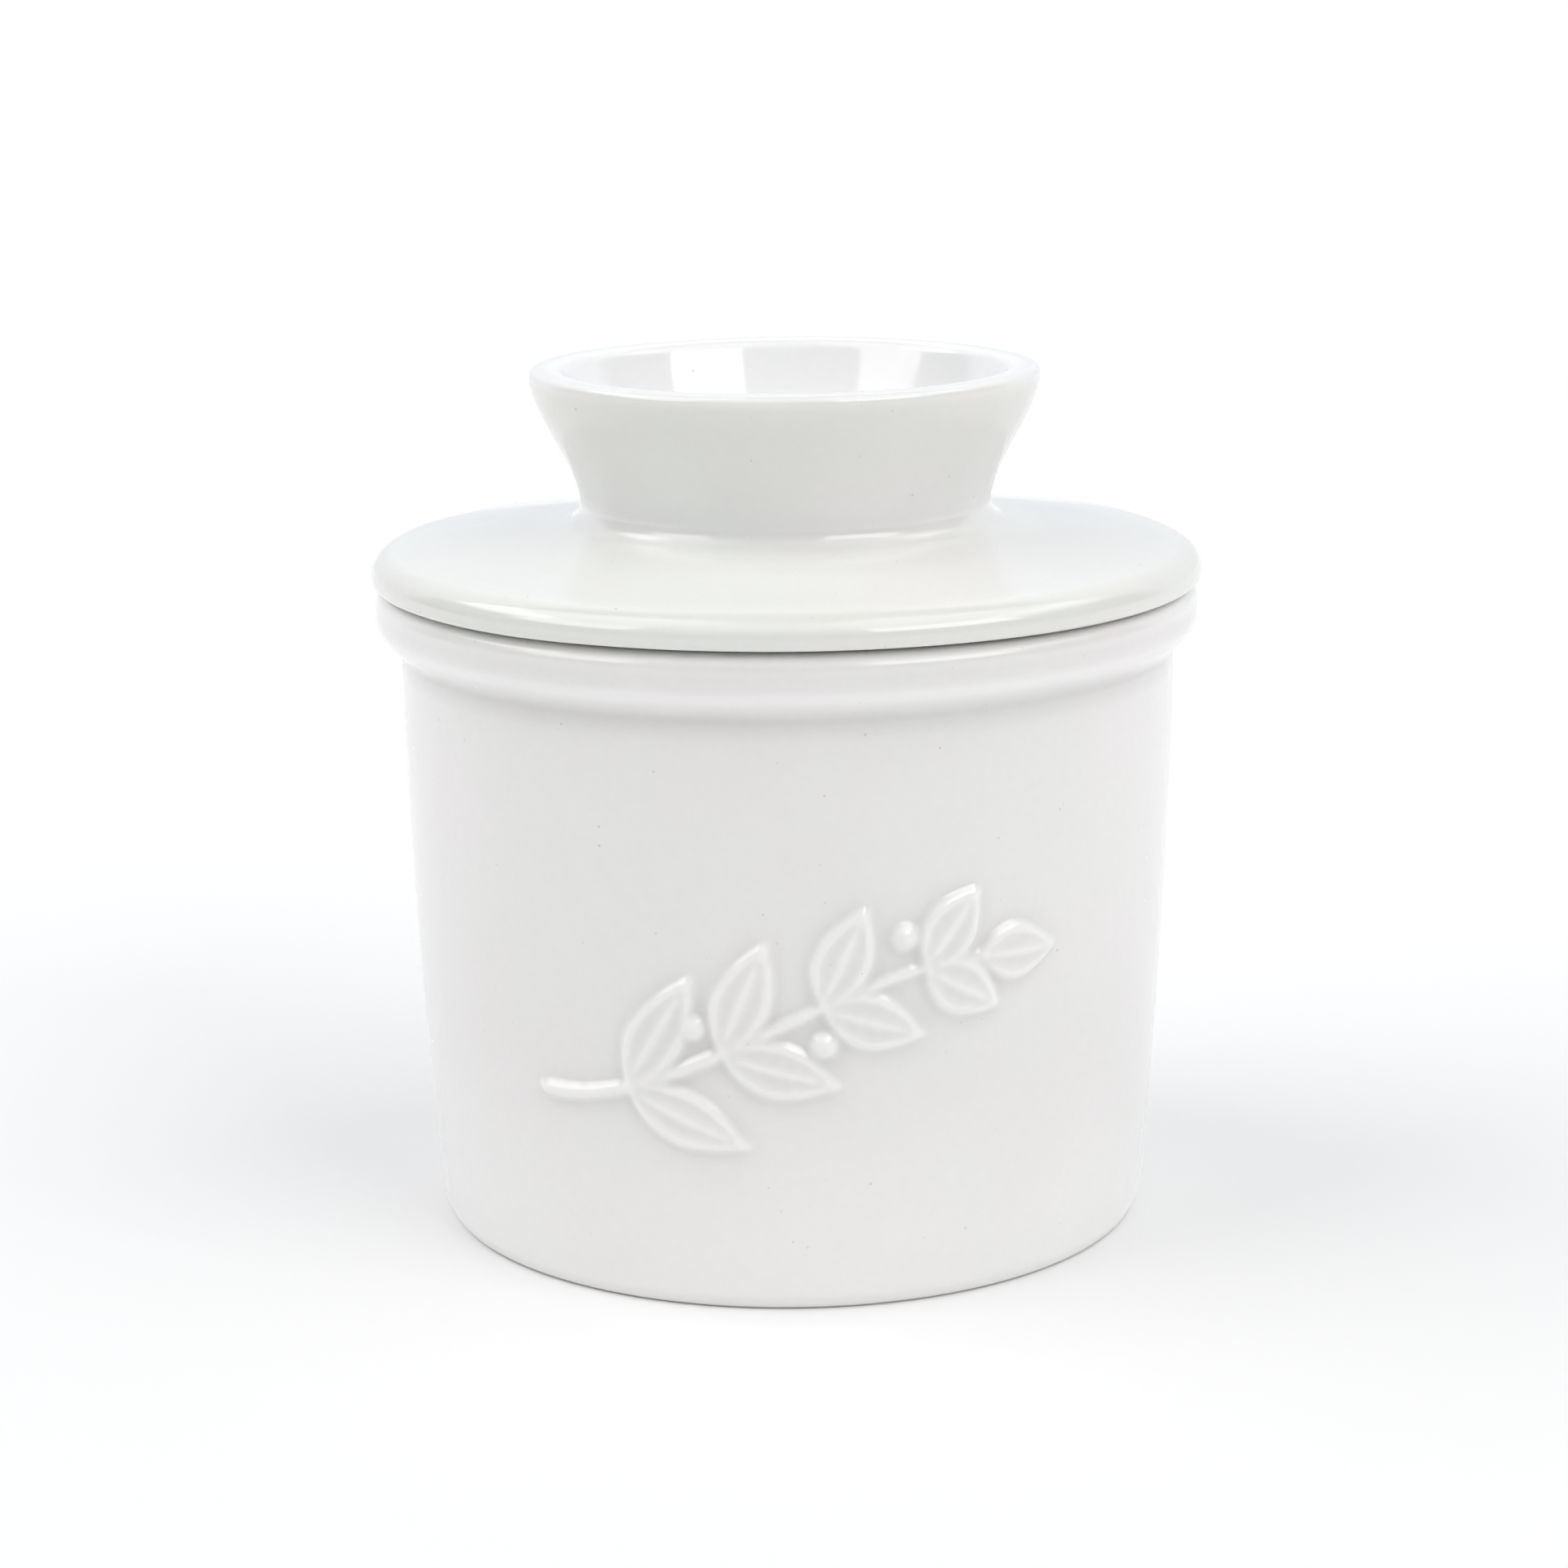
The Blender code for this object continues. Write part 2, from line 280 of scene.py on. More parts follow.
# Studio. Each panel: left and right azimuth, low and high elevation, softness of the edge, strength
STUDIO_PANELS = (
    (-84, -46, 24, 43, 1, 3.2),
    (24, 70, 24, 43, 1, 4.25),
    (-46, 24, 24, 43, 1, 0.3),
    (-122, -84, 33, 48, 4, 3.9),
    (70, 118, 33, 48, 4, 2.1),
    (-122, -46, 43, 80, 3, 1.9),
    (24, 118, 43, 80, 3, 1.8),
    (-46, 24, 43, 80, 3, 1.0),
    (118, 238, -20, 30, 5, 0.93),
    (118, 238, 30, 52, 5, 1.06),
)

# The back wall's faint blue, and the Y parts of a direction where it starts and where it is full
BACK_COLOUR = (0.96, 0.99, 1.05, 1)
BACK_FROM = 0.1
BACK_FULL = 0.6

# Camera
CAMERA_PLACE = (0.0, -0.44987, 0.15840)
CAMERA_PITCH = 13.226
CAMERA_YAW = -0.0738
CAMERA_ROLL = -0.5976
CAMERA_LENS = 85.23
CAMERA_CLIP = (0.01, 20)
SENSOR = 36.0

# The colour sockets of a Mix node
MIX_FIRST = 6
MIX_SECOND = 7
MIX_RESULT = 2


def curve_points(corners, steps):
    """Points of a cubic curve, given its two ends and two handles."""
    t = np.linspace(0, 1, steps + 1)[:, None]
    start, start_handle, end_handle, end = (np.array(c, float) for c in corners)
    return (
        (1 - t) ** 3 * start
        + 3 * t * (1 - t) ** 2 * start_handle
        + 3 * t * t * (1 - t) * end_handle
        + t**3 * end
    )


def unit(vector):
    return vector / np.linalg.norm(vector)


def turned(vector, degrees):
    angle = math.radians(degrees)
    cosine, sine = math.cos(angle), math.sin(angle)
    return np.array((vector[0] * cosine - vector[1] * sine, vector[0] * sine + vector[1] * cosine))


def round_corner(before, corner, after, radius):
    """The arc that rounds one corner of a profile."""
    corner = np.array(corner, float)
    to_before = unit(np.array(before, float) - corner)
    to_after = unit(np.array(after, float) - corner)
    opening = math.acos(float(np.clip(to_before @ to_after, -1, 1)))
    start = corner + to_before * radius / math.tan(opening / 2)
    centre = corner + unit(to_before + to_after) * radius / math.sin(opening / 2)
    turn = 180 - math.degrees(opening)
    if to_before[0] * to_after[1] - to_before[1] * to_after[0] > 0:
        turn = -turn
    steps = max(2, math.ceil(abs(turn) / ARC_STEP))
    return [centre + turned(start - centre, turn * step / steps) for step in range(steps + 1)]


def rounded(corners):
    """A profile from (point, radius) pairs, with an arc wherever the radius is above zero."""
    points = []
    for index, (corner, radius) in enumerate(corners):
        if radius > 0:
            points += round_corner(corners[index - 1][0], corner, corners[index + 1][0], radius)
        else:
            points.append(np.array(corner, float))
    return np.array(points)


def pot_profile():
    """Half of the pot's section: underside, outside, rim, and down the inside to the floor."""
    side = curve_points(SIDE_CURVE, SIDE_STEPS)
    inner_side = [point - (WALL, 0) for point in side if point[1] > INNER_SIDE_FROM][:-1]
    corners = [
        ((0, RECESS_DEPTH), 0),
        ((RECESS_RADIUS, RECESS_DEPTH), FOOT_ROUND),
        ((FOOT_INNER, 0), FOOT_INNER_ROUND),
        ((FOOT_OUTER, 0), FOOT_ROUND),
    ]
    corners += [(point, 0) for point in side if point[1] < SIDE_UP_TO]
    corners += [
        ((side[-1][0], COLLAR_BOTTOM - COLLAR_SLOPE), UNDERCUT_ROUND),
        ((COLLAR_RADIUS, COLLAR_BOTTOM), COLLAR_LOW_ROUND),
        ((COLLAR_RADIUS, RIM_TOP), COLLAR_TOP_ROUND),
        ((MOUTH_RADIUS, RIM_TOP), MOUTH_ROUND),
    ]
    corners += [(point, 0) for point in reversed(inner_side)]
    corners += [
        ((inner_side[0][0] - FLOOR_INSET, FLOOR_TOP), FLOOR_ROUND),
        ((0, FLOOR_TOP), 0),
    ]
    return rounded(corners)


def plate_edge():
    """The soft outer edge of the cover plate, from its shoulder down to its widest point."""
    shoulder = np.array(PLATE_SHOULDER)
    widest = np.array((PLATE_RADIUS, PLATE_WIDEST))
    out = unit(shoulder - FLARE_CURVE[0]) * (widest - shoulder)[0] * ROUND_HANDLE
    up = np.array((0, (shoulder - widest)[1] * ROUND_HANDLE))
    return curve_points((shoulder, shoulder + out, widest + up, widest), EDGE_STEPS)


def lid_profile():
    """Half of the lid's section: the cup's inside and outside, the plate, the knob and its bowl."""
    clear_of_neck = FLARE_CURVE[0][1] + NECK_ROUND * NECK_CLEARANCE
    flare = [point for point in curve_points(FLARE_CURVE, FLARE_STEPS) if point[1] > clear_of_neck]
    corners = [
        ((0, CUP_END), 0),
        ((CUP_ROOT_RADIUS - CUP_WALL, CUP_END), CUP_END_ROUND),
        ((CUP_RIM_RADIUS - CUP_WALL, CUP_RIM), CUP_RIM_ROUND),
        ((CUP_RIM_RADIUS, CUP_RIM), CUP_RIM_ROUND),
        ((CUP_ROOT_RADIUS, PLATE_UNDER), CUP_ROOT_ROUND),
        ((PLATE_RADIUS, PLATE_UNDER), PLATE_LOW_ROUND),
    ]
    corners += [(point, 0) for point in plate_edge()[::-1]]
    corners.append((FLARE_CURVE[0], NECK_ROUND))
    corners += [(point, 0) for point in flare[:-FLARE_STEPS_IN_LIP]]
    corners += [
        (FLARE_CURVE[3], LIP_OUTER_ROUND),
        (LIP_INNER, LIP_INNER_ROUND),
        ((BOWL_FLOOR_RADIUS, BOWL_FLOOR), BOWL_FLOOR_ROUND),
        ((0, BOWL_FLOOR), 0),
    ]
    return rounded(corners)


def lengths_along(points):
    return np.concatenate(([0], np.cumsum(np.linalg.norm(np.diff(points, axis=0), axis=1))))


def softened(profile):
    """The profile at an even spacing, with its corners softened as a coat of glaze softens them."""
    along = lengths_along(profile)
    even = np.linspace(0, along[-1], max(3, round(along[-1] / RESAMPLE)))
    points = np.stack([np.interp(even, along, profile[:, axis]) for axis in (0, 1)], 1)
    reach = math.ceil(SOFTEN_REACH * SOFTEN / RESAMPLE)
    weights = np.exp(-0.5 * (np.arange(-reach, reach + 1) * RESAMPLE / SOFTEN) ** 2)
    weights /= weights.sum()
    mirror = np.array((-1, 1))
    before = points[reach:0:-1] * mirror
    after = points[-2 : -reach - 2 : -1] * mirror
    padded = np.concatenate((before, points, after))
    soft = np.stack([np.convolve(padded[:, axis], weights, "valid") for axis in (0, 1)], 1)
    soft[0, 0] = soft[-1, 0] = 0
    return soft


def bend_glaze_and_painted_light(points):
    """How much glaze gathers at each point of a profile, with painted shade and painted highlights:
    more in a hollow bend, painted darker, and less on an edge, painted lighter.

    The bend is in radians per millimetre.
    """
    step = np.gradient(points, axis=0)
    angle = np.unwrap(np.arctan2(step[:, 1], step[:, 0]))
    bend = -np.gradient(angle) / np.maximum(np.linalg.norm(step, axis=1), LEAST_STEP) / MM_IN_METRE
    reach = round(BEND_REACH / RESAMPLE)
    bend = np.convolve(bend, np.ones(2 * reach + 1) / (2 * reach + 1), "same")
    return np.clip(bend * HOLLOW_GLAZE_AND_SHADE, 0, HOLLOW_SHADE_MOST) - np.clip(-bend * EDGE_PAINTED_HIGHLIGHT, 0, EDGE_HIGHLIGHT_MOST)


def thinned(points, longest):
    """Picks the rows of the mesh: close together in bends, and never further apart than longest."""
    step = np.diff(points, axis=0)
    length = np.linalg.norm(step, axis=1)
    angle = np.unwrap(np.arctan2(step[:, 1], step[:, 0]))
    turn = np.abs(np.diff(angle, prepend=angle[0]))
    kept = [0]
    travelled = bent = 0.0
    for index in range(len(length) - 1):
        travelled += length[index]
        bent += math.degrees(turn[index])
        if bent >= ROW_TURN or travelled >= longest[index]:
            kept.append(index + 1)
            travelled = bent = 0.0
    kept.append(len(points) - 1)
    return np.array(kept)


def front_columns():
    """Column angles all the way round, in radians, close together over the sprig at 0."""
    half = list(np.arange(0, FRONT_HALF_ANGLE, COLUMN_FINE))
    step = COLUMN_FINE
    while half[-1] + step < 180 - COLUMN_COARSE / 2:
        step = min(step * COLUMN_GROWTH, COLUMN_COARSE)
        half.append(half[-1] + step)
    half = np.array(half)
    half[-1] = 180
    return np.radians(np.concatenate((-half[:0:-1], half[:-1])))


def waviness(points, amount, seed):
    """Slow hand-made unevenness: a sum of plane waves, from -amount to amount."""
    random = np.random.default_rng(seed)
    total = np.zeros(points.shape[:-1])
    for _ in range(WAVES):
        direction = unit(random.normal(size=3))
        wavelength = random.uniform(WAVE_SHORTEST, WAVE_LONGEST)
        phase = random.uniform(0, 2 * math.pi)
        wave = np.sin(points @ direction * 2 * math.pi / wavelength + phase)
        total += wave * wavelength / WAVE_LONGEST
    return np.clip(total / WAVE_TALLEST, -1, 1) * amount


def soft_step(value):
    """0 up to 0, 1 from 1, and a soft rise between them."""
    value = np.clip(value, 0, 1)
    return value * value * (3 - 2 * value)


def leaves_and_berries(stem):
    """Base, direction and length of each leaf, and the middle of each berry."""
    leaves = []
    berries = []
    for pair in range(LEAF_PAIRS):
        share = pair / (LEAF_PAIRS - 1)
        sample = round(STEM_SAMPLES * (LEAF_FIRST + (LEAF_LAST - LEAF_FIRST) * share))
        along = unit(stem[sample + 1] - stem[sample - 1])
        length = LEAF_LENGTH + (LEAF_TIP_LENGTH - LEAF_LENGTH) * share
        for side in (1, -1):
            leaves.append((stem[sample], turned(along, side * LEAF_ANGLE), length))
        if pair > 0:
            side = 1 if pair % 2 else -1
            stalk = turned(along, side * 90) * BERRY_STALK
            berries.append(stem[sample] - along * BERRY_SETBACK + stalk)
    tip = unit(stem[-1] - stem[-2])
    leaves.append((stem[-1] - tip * STEM_RADIUS, tip, LEAF_TIP_LENGTH))
    return leaves, berries


def leaf_relief(places, base, direction, length):
    """A leaf with a raised edge, a raised vein and a hollow between them, crossed by fine ribs."""
    offset = places - base
    share = offset @ direction / length
    across = np.abs(offset[..., 0] * direction[1] - offset[..., 1] * direction[0])
    inside = np.clip(share, 0, 1)
    half_width = LEAF_WIDTH * np.sin(math.pi * inside**LEAF_FULLNESS)
    body = soft_step((half_width - across) / LEAF_EDGE * LEAF_SLOPE + LEAF_SPREAD)
    crest = np.maximum(half_width - LEAF_CREST * LEAF_EDGE, LEAF_CREST_LEAST)
    dip = LEAF_DIP * np.sin(math.pi * np.clip(across / crest, 0, 1)) ** LEAF_DIP_POWER
    along_rib = share * length - LEAF_RIB_SLANT * across
    ribs = LEAF_RIB * np.cos(2 * math.pi * along_rib / LEAF_RIB_SPACING) * dip
    shape = body * (1 - dip * (half_width > LEAF_DIP_FROM) + ribs)
    return SPRIG_RELIEF * np.where((share > 0) & (share < 1), shape, 0)


def sprig_relief(places):
    """Height of the sprig over the pot's side at each place, measured from the sprig's middle."""
    stem = curve_points(STEM_CURVE, STEM_SAMPLES)
    leaves, berries = leaves_and_berries(stem)
    fine_stem = curve_points(STEM_CURVE, STEM_FINE_SAMPLES)
    gaps = np.linalg.norm(places[..., None, :] - fine_stem, axis=-1)
    nearest = gaps.argmin(-1)
    radius = STEM_RADIUS * (1 - STEM_TAPER * nearest / STEM_FINE_SAMPLES)
    height = np.sqrt(np.maximum(radius**2 - gaps.min(-1) ** 2, 0))
    for leaf in leaves:
        height = np.maximum(height, leaf_relief(places, *leaf))
    for middle in berries:
        spread = np.linalg.norm(places - middle, axis=-1)
        ball = np.sqrt(np.maximum(BERRY_RADIUS**2 - spread**2, 0))
        height = np.maximum(height, ball - BERRY_SINK)
    return height


def blurred(grid, passes):
    """A grid smoothed with its neighbours, wrapping round the pot but not past its rows."""
    for _ in range(passes):
        grid = (np.roll(grid, 1, 1) + 2 * grid + np.roll(grid, -1, 1)) / 4
        padded = np.pad(grid, ((1, 1), (0, 0)), "edge")
        grid = (padded[:-2] + 2 * grid + padded[2:]) / 4
    return grid


def turned_piece(name, rows, glaze_and_shade, columns, wave, relief=None, sprig_light_and_shade=None):
    """A closed smooth mesh from profile rows and column angles, storing the glaze's thickness
    together with painted light and shade.
    """
    before = np.roll(rows, 1, 0)
    after = np.roll(rows, -1, 0)
    before[0], after[-1] = rows[0], rows[-1]
    tangent = after - before
    normal = np.stack((tangent[:, 1], -tangent[:, 0]), 1)
    normal /= np.linalg.norm(normal, axis=1)[:, None]
    out = np.stack((np.sin(columns), -np.cos(columns)), 1)
    lift = np.zeros((len(rows), len(columns))) if relief is None else relief
    places = np.concatenate(
        (
            rows[:, None, :1] * out[None],
            np.broadcast_to(rows[:, None, 1:], (len(rows), len(columns), 1)),
        ),
        -1,
    )
    # The unevenness only sinks below the profile, so that the piece stays inside the CAD box.
    fade = np.clip(rows[:, 0] / WAVE_FADE_RADIUS, 0, 1) * soft_step(rows[:, 1] / WAVE_FADE_HEIGHT)
    lift = lift + (waviness(places, *wave) - wave[0]) * fade[:, None]
    places[..., :2] += lift[..., None] * normal[:, None, :1] * out[None]
    places[..., 2] += lift * normal[:, None, 1]
    count = len(columns)
    inner = places[1:-1].reshape(-1, 3)
    verts = np.concatenate((places[0, :1], inner, places[-1, :1]))
    verts[0, :2] = verts[-1, :2] = 0
    ring = np.arange(count)
    beside = np.roll(ring, -1)
    starts = 1 + count * np.arange(len(rows) - 3)[:, None]
    quads = np.stack(
        (starts + ring, starts + beside, starts + count + beside, starts + count + ring), -1
    ).reshape(-1, 4)
    last = len(verts) - 1
    top = last - count
    faces = quads.tolist()
    faces += [(0, 1 + b, 1 + a) for a, b in zip(ring.tolist(), beside.tolist())]
    faces += [(last, top + a, top + b) for a, b in zip(ring.tolist(), beside.tolist())]
    mesh = bpy.data.meshes.new(name)
    mesh.from_pydata(verts.tolist(), [], faces)
    mesh.update()
    glaze_light_and_shade = np.broadcast_to(glaze_and_shade[:, None], (len(rows), count)).copy()
    if sprig_light_and_shade is not None:
        glaze_light_and_shade += sprig_light_and_shade
    values = np.concatenate((glaze_light_and_shade[0, :1], glaze_light_and_shade[1:-1].ravel(), glaze_light_and_shade[-1, :1]))
    attribute = mesh.attributes.new("glaze_light_and_shade", "FLOAT", "POINT")
    attribute.data.foreach_set("value", np.clip(values, 0, 1).astype(np.float32))
    mesh.shade_smooth()
    piece = bpy.data.objects.new(name, mesh)
    bpy.context.scene.collection.objects.link(piece)
    return piece


def outer_side_rows(points):
    """True for the points of the pot's outer side, where the sprig is."""
    return (points[:, 0] > SIDE_CURVE[0][0]) & (points[:, 1] < SIDE_CURVE[3][1])


def pot_glaze_and_painted_light(points):
    """Glaze level with painted light: painted shade on the collar's face, a painted highlight on the
    collar's lower bend, and painted light towards the foot.
    """
    # Painted light towards the foot, standing in for light bounced from the floor
    low = (1 - soft_step(points[:, 1] / FOOT_LIGHT_UP_TO)) * (points[:, 0] > FOOT_OUTER - FOOT_ROUND)
    outside = points[:, 0] > SIDE_CURVE[3][0]
    # Painted shade on the collar's face
    face = soft_step((points[:, 1] - RIDGE_HEIGHT) / COLLAR_FADE) * outside
    # Painted highlight along the collar's lower bend, standing in for the floor's reflection
    ridge = np.exp(-(((points[:, 1] - RIDGE_HEIGHT) / RIDGE_REACH) ** 2)) * outside
    return POT_GLAZE + COLLAR_PAINTED_SHADE * face - RIDGE_PAINTED_HIGHLIGHT * ridge - FOOT_PAINTED_LIGHT * low


def make_pot():
    """The pot, with the sprig raised on its front."""
    fine = softened(pot_profile())
    left, right, low, high = SPRIG_WINDOW
    up = fine[:, 1] - SPRIG_MIDDLE[1]
    in_window = outer_side_rows(fine) & (up > low) & (up < high)
    kept = thinned(fine, np.where(in_window, ROW_SPRIG, ROW_LONGEST))
    rows = fine[kept]
    # Glaze level per row, with painted light and painted shade
    glaze_and_shade = (pot_glaze_and_painted_light(fine) + bend_glaze_and_painted_light(fine))[kept]
    columns = front_columns()
    side = outer_side_rows(rows)
    across = rows[:, None, 0] * columns[None] - SPRIG_MIDDLE[0]
    above = np.broadcast_to(rows[:, None, 1] - SPRIG_MIDDLE[1], across.shape)
    places = np.stack((across, above), -1)
    window = side & (places[:, 0, 1] > low) & (places[:, 0, 1] < high)
    near = (across > left) & (across < right) & window[:, None]
    relief = np.zeros(across.shape)
    relief[near] = sprig_relief(places[near])
    relief = blurred(relief, SPRIG_BLUR)
    near_mean = blurred(relief, NEAR_BLUR)
    far_mean = blurred(near_mean, FAR_BLUR)
    # Painted shade in the hollow round the sprig, and a painted highlight on its crests
    sprig_painted_shade = np.clip((far_mean - relief) / SPRIG_RELIEF * SPRIG_SHADE_GAIN, 0, SPRIG_SHADE_MOST)
    crest = np.clip((relief - near_mean) / SPRIG_RELIEF * CREST_HIGHLIGHT_GAIN, 0, CREST_HIGHLIGHT_MOST)
    sprig_light_and_shade = (sprig_painted_shade - crest) * side[:, None]
    piece = turned_piece("pot", rows, glaze_and_shade, columns, POT_WAVE, relief, sprig_light_and_shade)
    mark_bare(piece, foot_rows(rows), len(columns))
    return piece


def foot_rows(rows):
    """True for the rows of the foot ring's underside, which has no glaze."""
    return (rows[:, 1] < BARE_BELOW) & (rows[:, 0] > RECESS_RADIUS)


def mark_bare(piece, bare, count):
    """Gives the faces between two bare rows the second material."""
    inner = bare[1:-1]
    both = inner[:-1] & inner[1:]
    index = np.zeros(len(piece.data.polygons), np.int32)
    index[: len(both) * count] = np.repeat(both, count).astype(np.int32)
    piece.data.polygons.foreach_set("material_index", index)


def lid_glaze_and_painted_light(points):
    """Glaze level with painted light: painted shade on the plate's edge and up the knob's flare, a
    painted highlight at the neck and painted light in the bowl.
    """
    glaze_and_shade = np.full(len(points), PLATE_GLAZE)
    peak = points[:, 1].argmax()
    neck_side = (np.arange(len(points)) < peak) & (points[:, 0] < FLARE_CURVE[3][0])
    up = (points[:, 1] - FLARE_CURVE[0][1]) / (lid_high.z - FLARE_CURVE[0][1])
    # Painted highlight at the neck, rising to painted shade up the flare
    ran = NECK_PAINTED_HIGHLIGHT + (FLARE_PAINTED_SHADE - NECK_PAINTED_HIGHLIGHT) * soft_step(up)
    above_plate = neck_side & (points[:, 1] > PLATE_SHOULDER[1])
    on_flare = soft_step(up / NECK_FADE + NECK_START) * above_plate
    glaze_and_shade += (ran - glaze_and_shade) * on_flare
    # Painted shade on the plate's edge
    glaze_and_shade += PLATE_EDGE_PAINTED_SHADE * soft_step((points[:, 0] - PLATE_SHOULDER[0]) / EDGE_FADE)
    # Painted light in the bowl, beyond the lip
    over_lip = soft_step((np.arange(len(points)) - peak) * RESAMPLE / LIP_FADE + 0.5)
    return glaze_and_shade + (BOWL_PAINTED_LIGHT - glaze_and_shade) * over_lip


def make_lid():
    """The lid: plate, knob and butter cup in one."""
    fine = softened(lid_profile())
    kept = thinned(fine, np.full(len(fine), ROW_LONGEST))
    bend = bend_glaze_and_painted_light(fine)
    # Hollow bends add only a share of their painted shade on the lid; edges keep their painted
    # highlight
    glaze_and_shade = lid_glaze_and_painted_light(fine) + np.where(bend > 0, LID_HOLLOW_SHADE_SHARE * bend, bend)
    columns = np.linspace(-math.pi, math.pi, LID_COLUMNS, endpoint=False)
    return turned_piece("lid", fine[kept], glaze_and_shade[kept], columns, LID_WAVE)


class Nodes:
    """A short way to lay out a node tree."""

    def __init__(self, tree):
        self.tree = tree
        tree.nodes.clear()

    def add(self, kind, inputs=None, **settings):
        node = self.tree.nodes.new(kind)
        for name, value in settings.items():
            setattr(node, name, value)
        for key, value in (inputs or {}).items():
            if isinstance(value, bpy.types.NodeSocket):
                self.tree.links.new(value, node.inputs[key])
            else:
                node.inputs[key].default_value = value
        return node

    def maths(self, operation, first, second=0.0, clamp=False):
        node = self.add("ShaderNodeMath", {0: first, 1: second}, operation=operation)
        node.use_clamp = clamp
        return node.outputs[0]

    def ramp(self, value, low, high, to_low=0.0, to_high=1.0):
        inputs = {"Value": value, "From Min": low, "From Max": high}
        inputs |= {"To Min": to_low, "To Max": to_high}
        return self.add("ShaderNodeMapRange", inputs, clamp=True).outputs["Result"]

    def mix(self, factor, first, second, blend="MIX"):
        node = self.add("ShaderNodeMix", {"Factor": factor}, data_type="RGBA", blend_type=blend)
        for socket, value in ((MIX_FIRST, first), (MIX_SECOND, second)):
            if isinstance(value, bpy.types.NodeSocket):
                self.tree.links.new(value, node.inputs[socket])
            else:
                node.inputs[socket].default_value = value
        return node.outputs[MIX_RESULT]


def new_material(name):
    material = bpy.data.materials.new(name)
    material.use_nodes = True
    return material, Nodes(material.node_tree)


def glaze_and_painted_light_material(name, thin_and_lit_colour, thick_and_shaded_colour, seed, roughness):
    """Porcelain glaze: darker where it is thick and where shade is painted, lighter where light is
    painted, with faint mottling and sparse dark pinholes.
    """
    material, nodes = new_material(name)
    place = nodes.add("ShaderNodeTexCoord").outputs["Object"]
    shifted = nodes.add("ShaderNodeVectorMath", {0: place, 1: (seed, -seed, seed * 2)}).outputs[0]

    def noise(scale, detail):
        inputs = {"Vector": shifted, "Scale": scale, "Detail": detail}
        return nodes.add("ShaderNodeTexNoise", inputs).outputs["Fac"]

    uneven = 0.0
    for scale, detail, amount in THICKNESS_NOISES:
        patches = nodes.ramp(noise(scale, detail), NOISE_LOW, NOISE_HIGH, -amount, amount)
        uneven = nodes.maths("ADD", uneven, patches)
    # The stored level mixes painted light and painted shade into the glaze's colour
    glaze_light_and_shade = nodes.add("ShaderNodeAttribute", attribute_name="glaze_light_and_shade").outputs["Fac"]
    thickness_and_shade = nodes.maths("ADD", glaze_light_and_shade, uneven, clamp=True)
    colour = nodes.mix(thickness_and_shade, thin_and_lit_colour, thick_and_shaded_colour)
    cool = nodes.ramp(noise(*TINT_NOISE), TINT_LOW, TINT_HIGH)
    tint = nodes.mix(cool, WARM_TINT, COOL_TINT)
    colour = nodes.mix(1.0, colour, tint, "MULTIPLY")

    inputs = {"Vector": shifted, "Scale": PINHOLE_SCALE, "Randomness": 1.0}
    cells = nodes.add("ShaderNodeTexVoronoi", inputs)
    random = nodes.add("ShaderNodeSeparateColor", {"Color": cells.outputs["Color"]}).outputs
    chosen = nodes.maths("GREATER_THAN", random[0], PINHOLES_SKIPPED)
    reach = nodes.ramp(random[1], 0.0, 1.0, *PINHOLE_REACH)
    spot = nodes.maths("LESS_THAN", cells.outputs["Distance"], reach)
    pinhole = nodes.maths("MULTIPLY", chosen, spot)
    stain = nodes.maths("MULTIPLY", pinhole, nodes.ramp(random[2], 0.0, 1.0, *PINHOLE_STAIN))
    colour = nodes.mix(stain, colour, PINHOLE_COLOUR)

    smoothest, roughest = (roughness * share for share in GLOSS_SPREAD)
    gloss = nodes.ramp(noise(*GLOSS_NOISE), NOISE_LOW, NOISE_HIGH, smoothest, roughest)
    gloss = nodes.maths("ADD", gloss, nodes.maths("MULTIPLY", pinhole, PINHOLE_ROUGHNESS))
    grain = nodes.maths("MULTIPLY", noise(*GRAIN_NOISE), GRAIN_SHARE)
    inputs = {
        "Strength": GLAZE_BUMP_STRENGTH,
        "Distance": GLAZE_BUMP,
        "Height": nodes.maths("ADD", grain, noise(*RIPPLE_NOISE)),
    }
    bump = nodes.add("ShaderNodeBump", inputs)
    inputs = {
        "Base Color": colour,
        "Roughness": gloss,
        "Normal": bump.outputs[0],
        "IOR": GLAZE_IOR,
    }
    shader = nodes.add("ShaderNodeBsdfPrincipled", inputs)
    nodes.add("ShaderNodeOutputMaterial", {"Surface": shader.outputs[0]})
    return material


def bare_material():
    """The unglazed fired clay of the foot ring."""
    material, nodes = new_material("bare_clay")
    place = nodes.add("ShaderNodeTexCoord").outputs["Object"]
    grit = nodes.add("ShaderNodeTexNoise", {"Vector": place, **CLAY_GRIT}).outputs["Fac"]
    colour = nodes.mix(nodes.ramp(grit, NOISE_LOW, NOISE_HIGH), CLAY_DARK, CLAY_LIGHT)
    inputs = {"Strength": CLAY_BUMP_STRENGTH, "Distance": CLAY_BUMP, "Height": grit}
    bump = nodes.add("ShaderNodeBump", inputs)
    rough = nodes.ramp(grit, NOISE_LOW, NOISE_HIGH, *CLAY_ROUGHNESS)
    shader = nodes.add(
        "ShaderNodeBsdfPrincipled",
        {"Base Color": colour, "Roughness": rough, "Normal": bump.outputs[0]},
    )
    nodes.add("ShaderNodeOutputMaterial", {"Surface": shader.outputs[0]})
    return material


